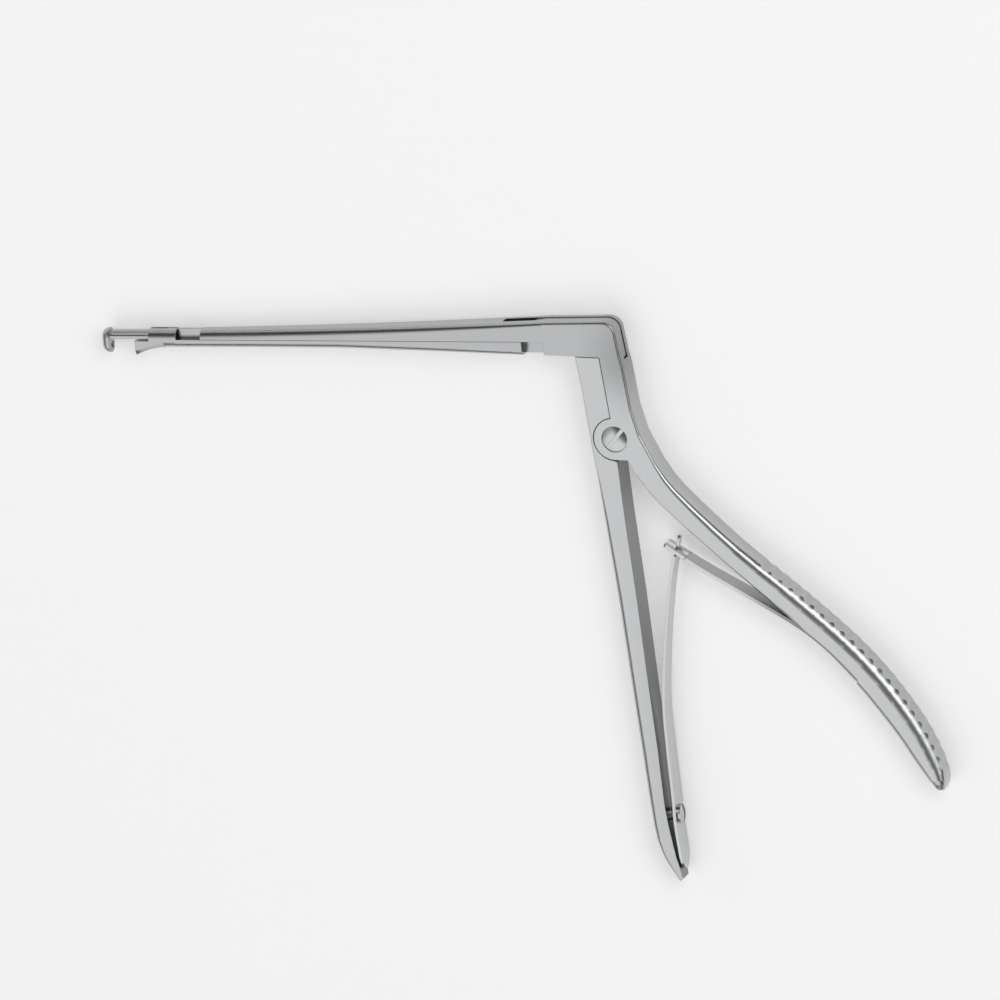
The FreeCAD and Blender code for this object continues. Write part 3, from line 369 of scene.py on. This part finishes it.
def add_bar(mesh, line, thickness, low=None, high=None):
    """A thin bar through the stations. Its thickness lies to the right of the line, and a
    bar that is not as wide as the leaf reaches from low to high across the tool."""
    rings = []
    for x, y, heading, half in line:
        right = Vector((math.sin(math.radians(heading)), -math.cos(math.radians(heading))))
        bottom = -half if low is None else max(low, -half)
        top = half if high is None else min(high, half)
        corners = [(0.0, bottom), (0.0, top), (thickness, top), (thickness, bottom)]
        rings.append([mesh.verts.new(place(x + right.x * off, y + right.y * off, z))
                      for off, z in corners])
    for near, far in zip(rings, rings[1:]):
        for corner in range(4):
            follow = (corner + 1) % 4
            mesh.faces.new((near[corner], near[follow], far[follow], far[corner]))
    mesh.faces.new(rings[0][::-1])
    mesh.faces.new(rings[-1])


def run_on(line, lengths_and_halves):
    """The line goes straight on from its end, with other widths."""
    x, y, heading, half = line[-1]
    along = (math.cos(math.radians(heading)), math.sin(math.radians(heading)))
    return [(x + along[0] * length, y + along[1] * length, heading, width)
            for length, width in lengths_and_halves]


def finish_leaf(mesh, node_name, material):
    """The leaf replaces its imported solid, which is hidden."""
    bmesh.ops.recalc_face_normals(mesh, faces=mesh.faces)
    data = bpy.data.meshes.new(node_name + "_bending")
    for face in mesh.faces:
        face.smooth = True
    mesh.to_mesh(data)
    mesh.free()
    data.set_sharp_from_angle(angle=SHARP_ANGLE)
    data.materials.append(material)
    piece = bpy.data.objects.new(node_name + "_bending", data)
    bpy.context.scene.collection.objects.link(piece)
    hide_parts(node_name)
    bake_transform(piece)
    return piece


def make_front_leaf():
    """The leaf on the lever, with a round-ended tongue."""
    mesh = bmesh.new()
    line = centre_line(FRONT_LEAF)
    add_bar(mesh, line, FRONT_THICKNESS)
    straight = [(length, TONGUE_HALF) for length in (-TONGUE_ROOT, 0.0, TONGUE_STRAIGHT)]
    add_bar(mesh, run_on(line, straight + TONGUE_TIP), FRONT_THICKNESS)
    return finish_leaf(
        mesh, "front_leaf_spring", front_leaf_steel)


def make_rear_leaf():
    """The leaf on the rear handle. It ends in two prongs, rounded at their tips."""
    mesh = bmesh.new()
    line = centre_line(REAR_LEAF)
    tip = line[-1]
    whole = []
    prong = []
    for x, y, heading, half in line:
        left = math.hypot(x - tip[0], y - tip[1])
        if left > FORK_LENGTH:
            whole.append((x, y, heading, half))
        if left < FORK_LENGTH + PRONG_OVERLAP:
            rounding = math.sqrt(max(0.0, 1.0 - (1.0 - min(left, PRONG_ROUND) / PRONG_ROUND) ** 2))
            outer = PRONG_MIDDLE + (half - PRONG_MIDDLE) * max(rounding, PRONG_BLUNT)
            prong.append((x, y, heading, outer))
    add_bar(mesh, whole, REAR_THICKNESS)
    add_bar(mesh, prong, REAR_THICKNESS, low=FORK_HALF)
    add_bar(mesh, prong, REAR_THICKNESS, high=-FORK_HALF)
    return finish_leaf(
        mesh, "rear_leaf_spring", rear_leaf_steel)


front_spring = make_front_leaf()
rear_spring = make_rear_leaf()
print("springs:", len(front_spring.data.polygons), len(rear_spring.data.polygons), "faces")

# %% [markdown]
# ## The table and the light
# The tool lies on a pale table. Steel mirrors what is around it, so bright and dark bands
# across the room draw the bright and dark lines along the round backs, and one soft lamp
# gives the tool its shadow.

# %% The table
TABLE_HALF = 4.0
TABLE_DROP = 0.2 * MM
TABLE_LIFT = 0.32


def make_table():
    """A flat table that is a little brighter to the camera and in the steel than its colour."""
    mesh = bmesh.new()
    bmesh.ops.create_grid(mesh, x_segments=1, y_segments=1, size=TABLE_HALF)
    bmesh.ops.translate(mesh, verts=mesh.verts, vec=(0.0, 0.0, -TABLE_DROP))
    data = bpy.data.meshes.new("table")
    mesh.to_mesh(data)
    mesh.free()
    table = bpy.data.objects.new("table", data)
    bpy.context.scene.collection.objects.link(table)
    material = bpy.data.materials.new("pale_table")
    material.use_nodes = True
    tree = material.node_tree
    tree.nodes.clear()
    output = add_node(tree, "ShaderNodeOutputMaterial")
    shader = add_node(tree, "ShaderNodeBsdfPrincipled", None, {
        "Base Color": linear("f4f4f4"), "Roughness": 0.8})
    path = add_node(tree, "ShaderNodeLightPath")
    seen = add_node(tree, "ShaderNodeMath", {"operation": "MAXIMUM"}, {
        0: path.outputs["Is Camera Ray"], 1: path.outputs["Is Glossy Ray"]})
    mirrored = add_node(tree, "ShaderNodeMath", {"operation": "MAXIMUM"}, {
        0: seen.outputs["Value"], 1: path.outputs["Is Transmission Ray"]})
    lift = add_node(tree, "ShaderNodeMath", {"operation": "MULTIPLY"}, {
        0: mirrored.outputs["Value"], 1: TABLE_LIFT})
    glow = add_node(tree, "ShaderNodeEmission", None, {
        "Color": (1.0, 1.0, 1.0, 1.0), "Strength": lift.outputs["Value"]})
    both = add_node(tree, "ShaderNodeAddShader", None, {
        0: shader.outputs["BSDF"], 1: glow.outputs["Emission"]})
    tree.links.new(both.outputs["Shader"], output.inputs["Surface"])
    data.materials.append(material)
    return table


table = make_table()
print("table made")

# %% The room and the lamp

# The room's brightness along the line from the lower left through straight up to the
# upper right of the picture: degrees from straight up, and the brightness there.
ROOM = [
    (-90.0, 0.25), (-76.0, 0.30), (-62.0, 0.95), (-45.0, 1.15), (-14.0, 1.12), (-5.0, 0.40), (2.0, 0.14),
    (18.0, 0.14), (29.0, 0.60), (36.0, 1.25), (60.0, 1.25), (66.0, 0.35), (72.0, 0.10), (90.0, 0.10),
]
# The same along the line from the upper left to the lower right, as a share.
ACROSS = [
    (-90.0, 1.0), (-76.0, 1.0), (-64.0, 0.32), (-36.0, 0.36), (-16.0, 1.0), (16.0, 1.0), (46.0, 1.0),
    (58.0, 0.28), (90.0, 0.22),
]


def make_world():
    """Long soft boxes and dark gaps between them, side by side across the room."""
    world = bpy.data.worlds.new("room")
    bpy.context.scene.world = world
    world.use_nodes = True
    tree = world.node_tree
    tree.nodes.clear()
    output = add_node(tree, "ShaderNodeOutputWorld")
    direction = add_node(tree, "ShaderNodeTexCoord").outputs["Generated"]
    back = camera_axes()[2]
    leaning = Vector((back.x, back.y, 0.0)).normalized()
    upward = add_node(tree, "ShaderNodeSeparateXYZ", None, {"Vector": direction})

    def along(line, stops):
        """The brightness by the angle from straight up towards a line across the room."""
        sideways = add_node(tree, "ShaderNodeVectorMath", {"operation": "DOT_PRODUCT"}, {
            0: direction, 1: line})
        angle = add_node(tree, "ShaderNodeMath", {"operation": "ARCTAN2"}, {
            0: sideways.outputs["Value"], 1: upward.outputs["Z"]})
        share = add_node(tree, "ShaderNodeMapRange", None, {
            "Value": angle.outputs["Value"], "From Min": -math.pi / 2, "From Max": math.pi / 2})
        brightest = max(level for degrees, level in stops)
        curve = ramp(tree, share.outputs["Result"], [
            ((degrees + 90.0) / 180.0, level / brightest) for degrees, level in stops])
        return multiplied(tree, [curve, brightest])

    crosswise = Vector((leaning.y, -leaning.x, 0.0))
    strength = multiplied(tree, [along(leaning, ROOM), along(crosswise, ACROSS)])
    background = add_node(tree, "ShaderNodeBackground", None, {
        "Color": (1.0, 1.0, 1.0, 1.0), "Strength": strength})
    tree.links.new(background.outputs["Background"], output.inputs["Surface"])
    return world


def make_lamp(name, position, target, size, power):
    """An oblong lamp that faces its target and that the camera doesn't see."""
    data = bpy.data.lights.new(name, "AREA")
    data.shape = "RECTANGLE"
    data.size = size[0]
    data.size_y = size[1]
    data.energy = power
    lamp = bpy.data.objects.new(name, data)
    bpy.context.scene.collection.objects.link(lamp)
    lamp.location = position
    lamp.rotation_mode = "QUATERNION"
    lamp.rotation_quaternion = (Vector(target) - Vector(position)).to_track_quat("-Z", "Y")
    lamp.visible_camera = False
    return lamp


make_world()
make_lamp("soft_box", position=(0.75, 0.66, 1.0), target=(0, 0, 0), size=(1.0, 0.5), power=2.0)

# %% Colour handling and the end
bpy.context.scene.view_settings.view_transform = "Standard"
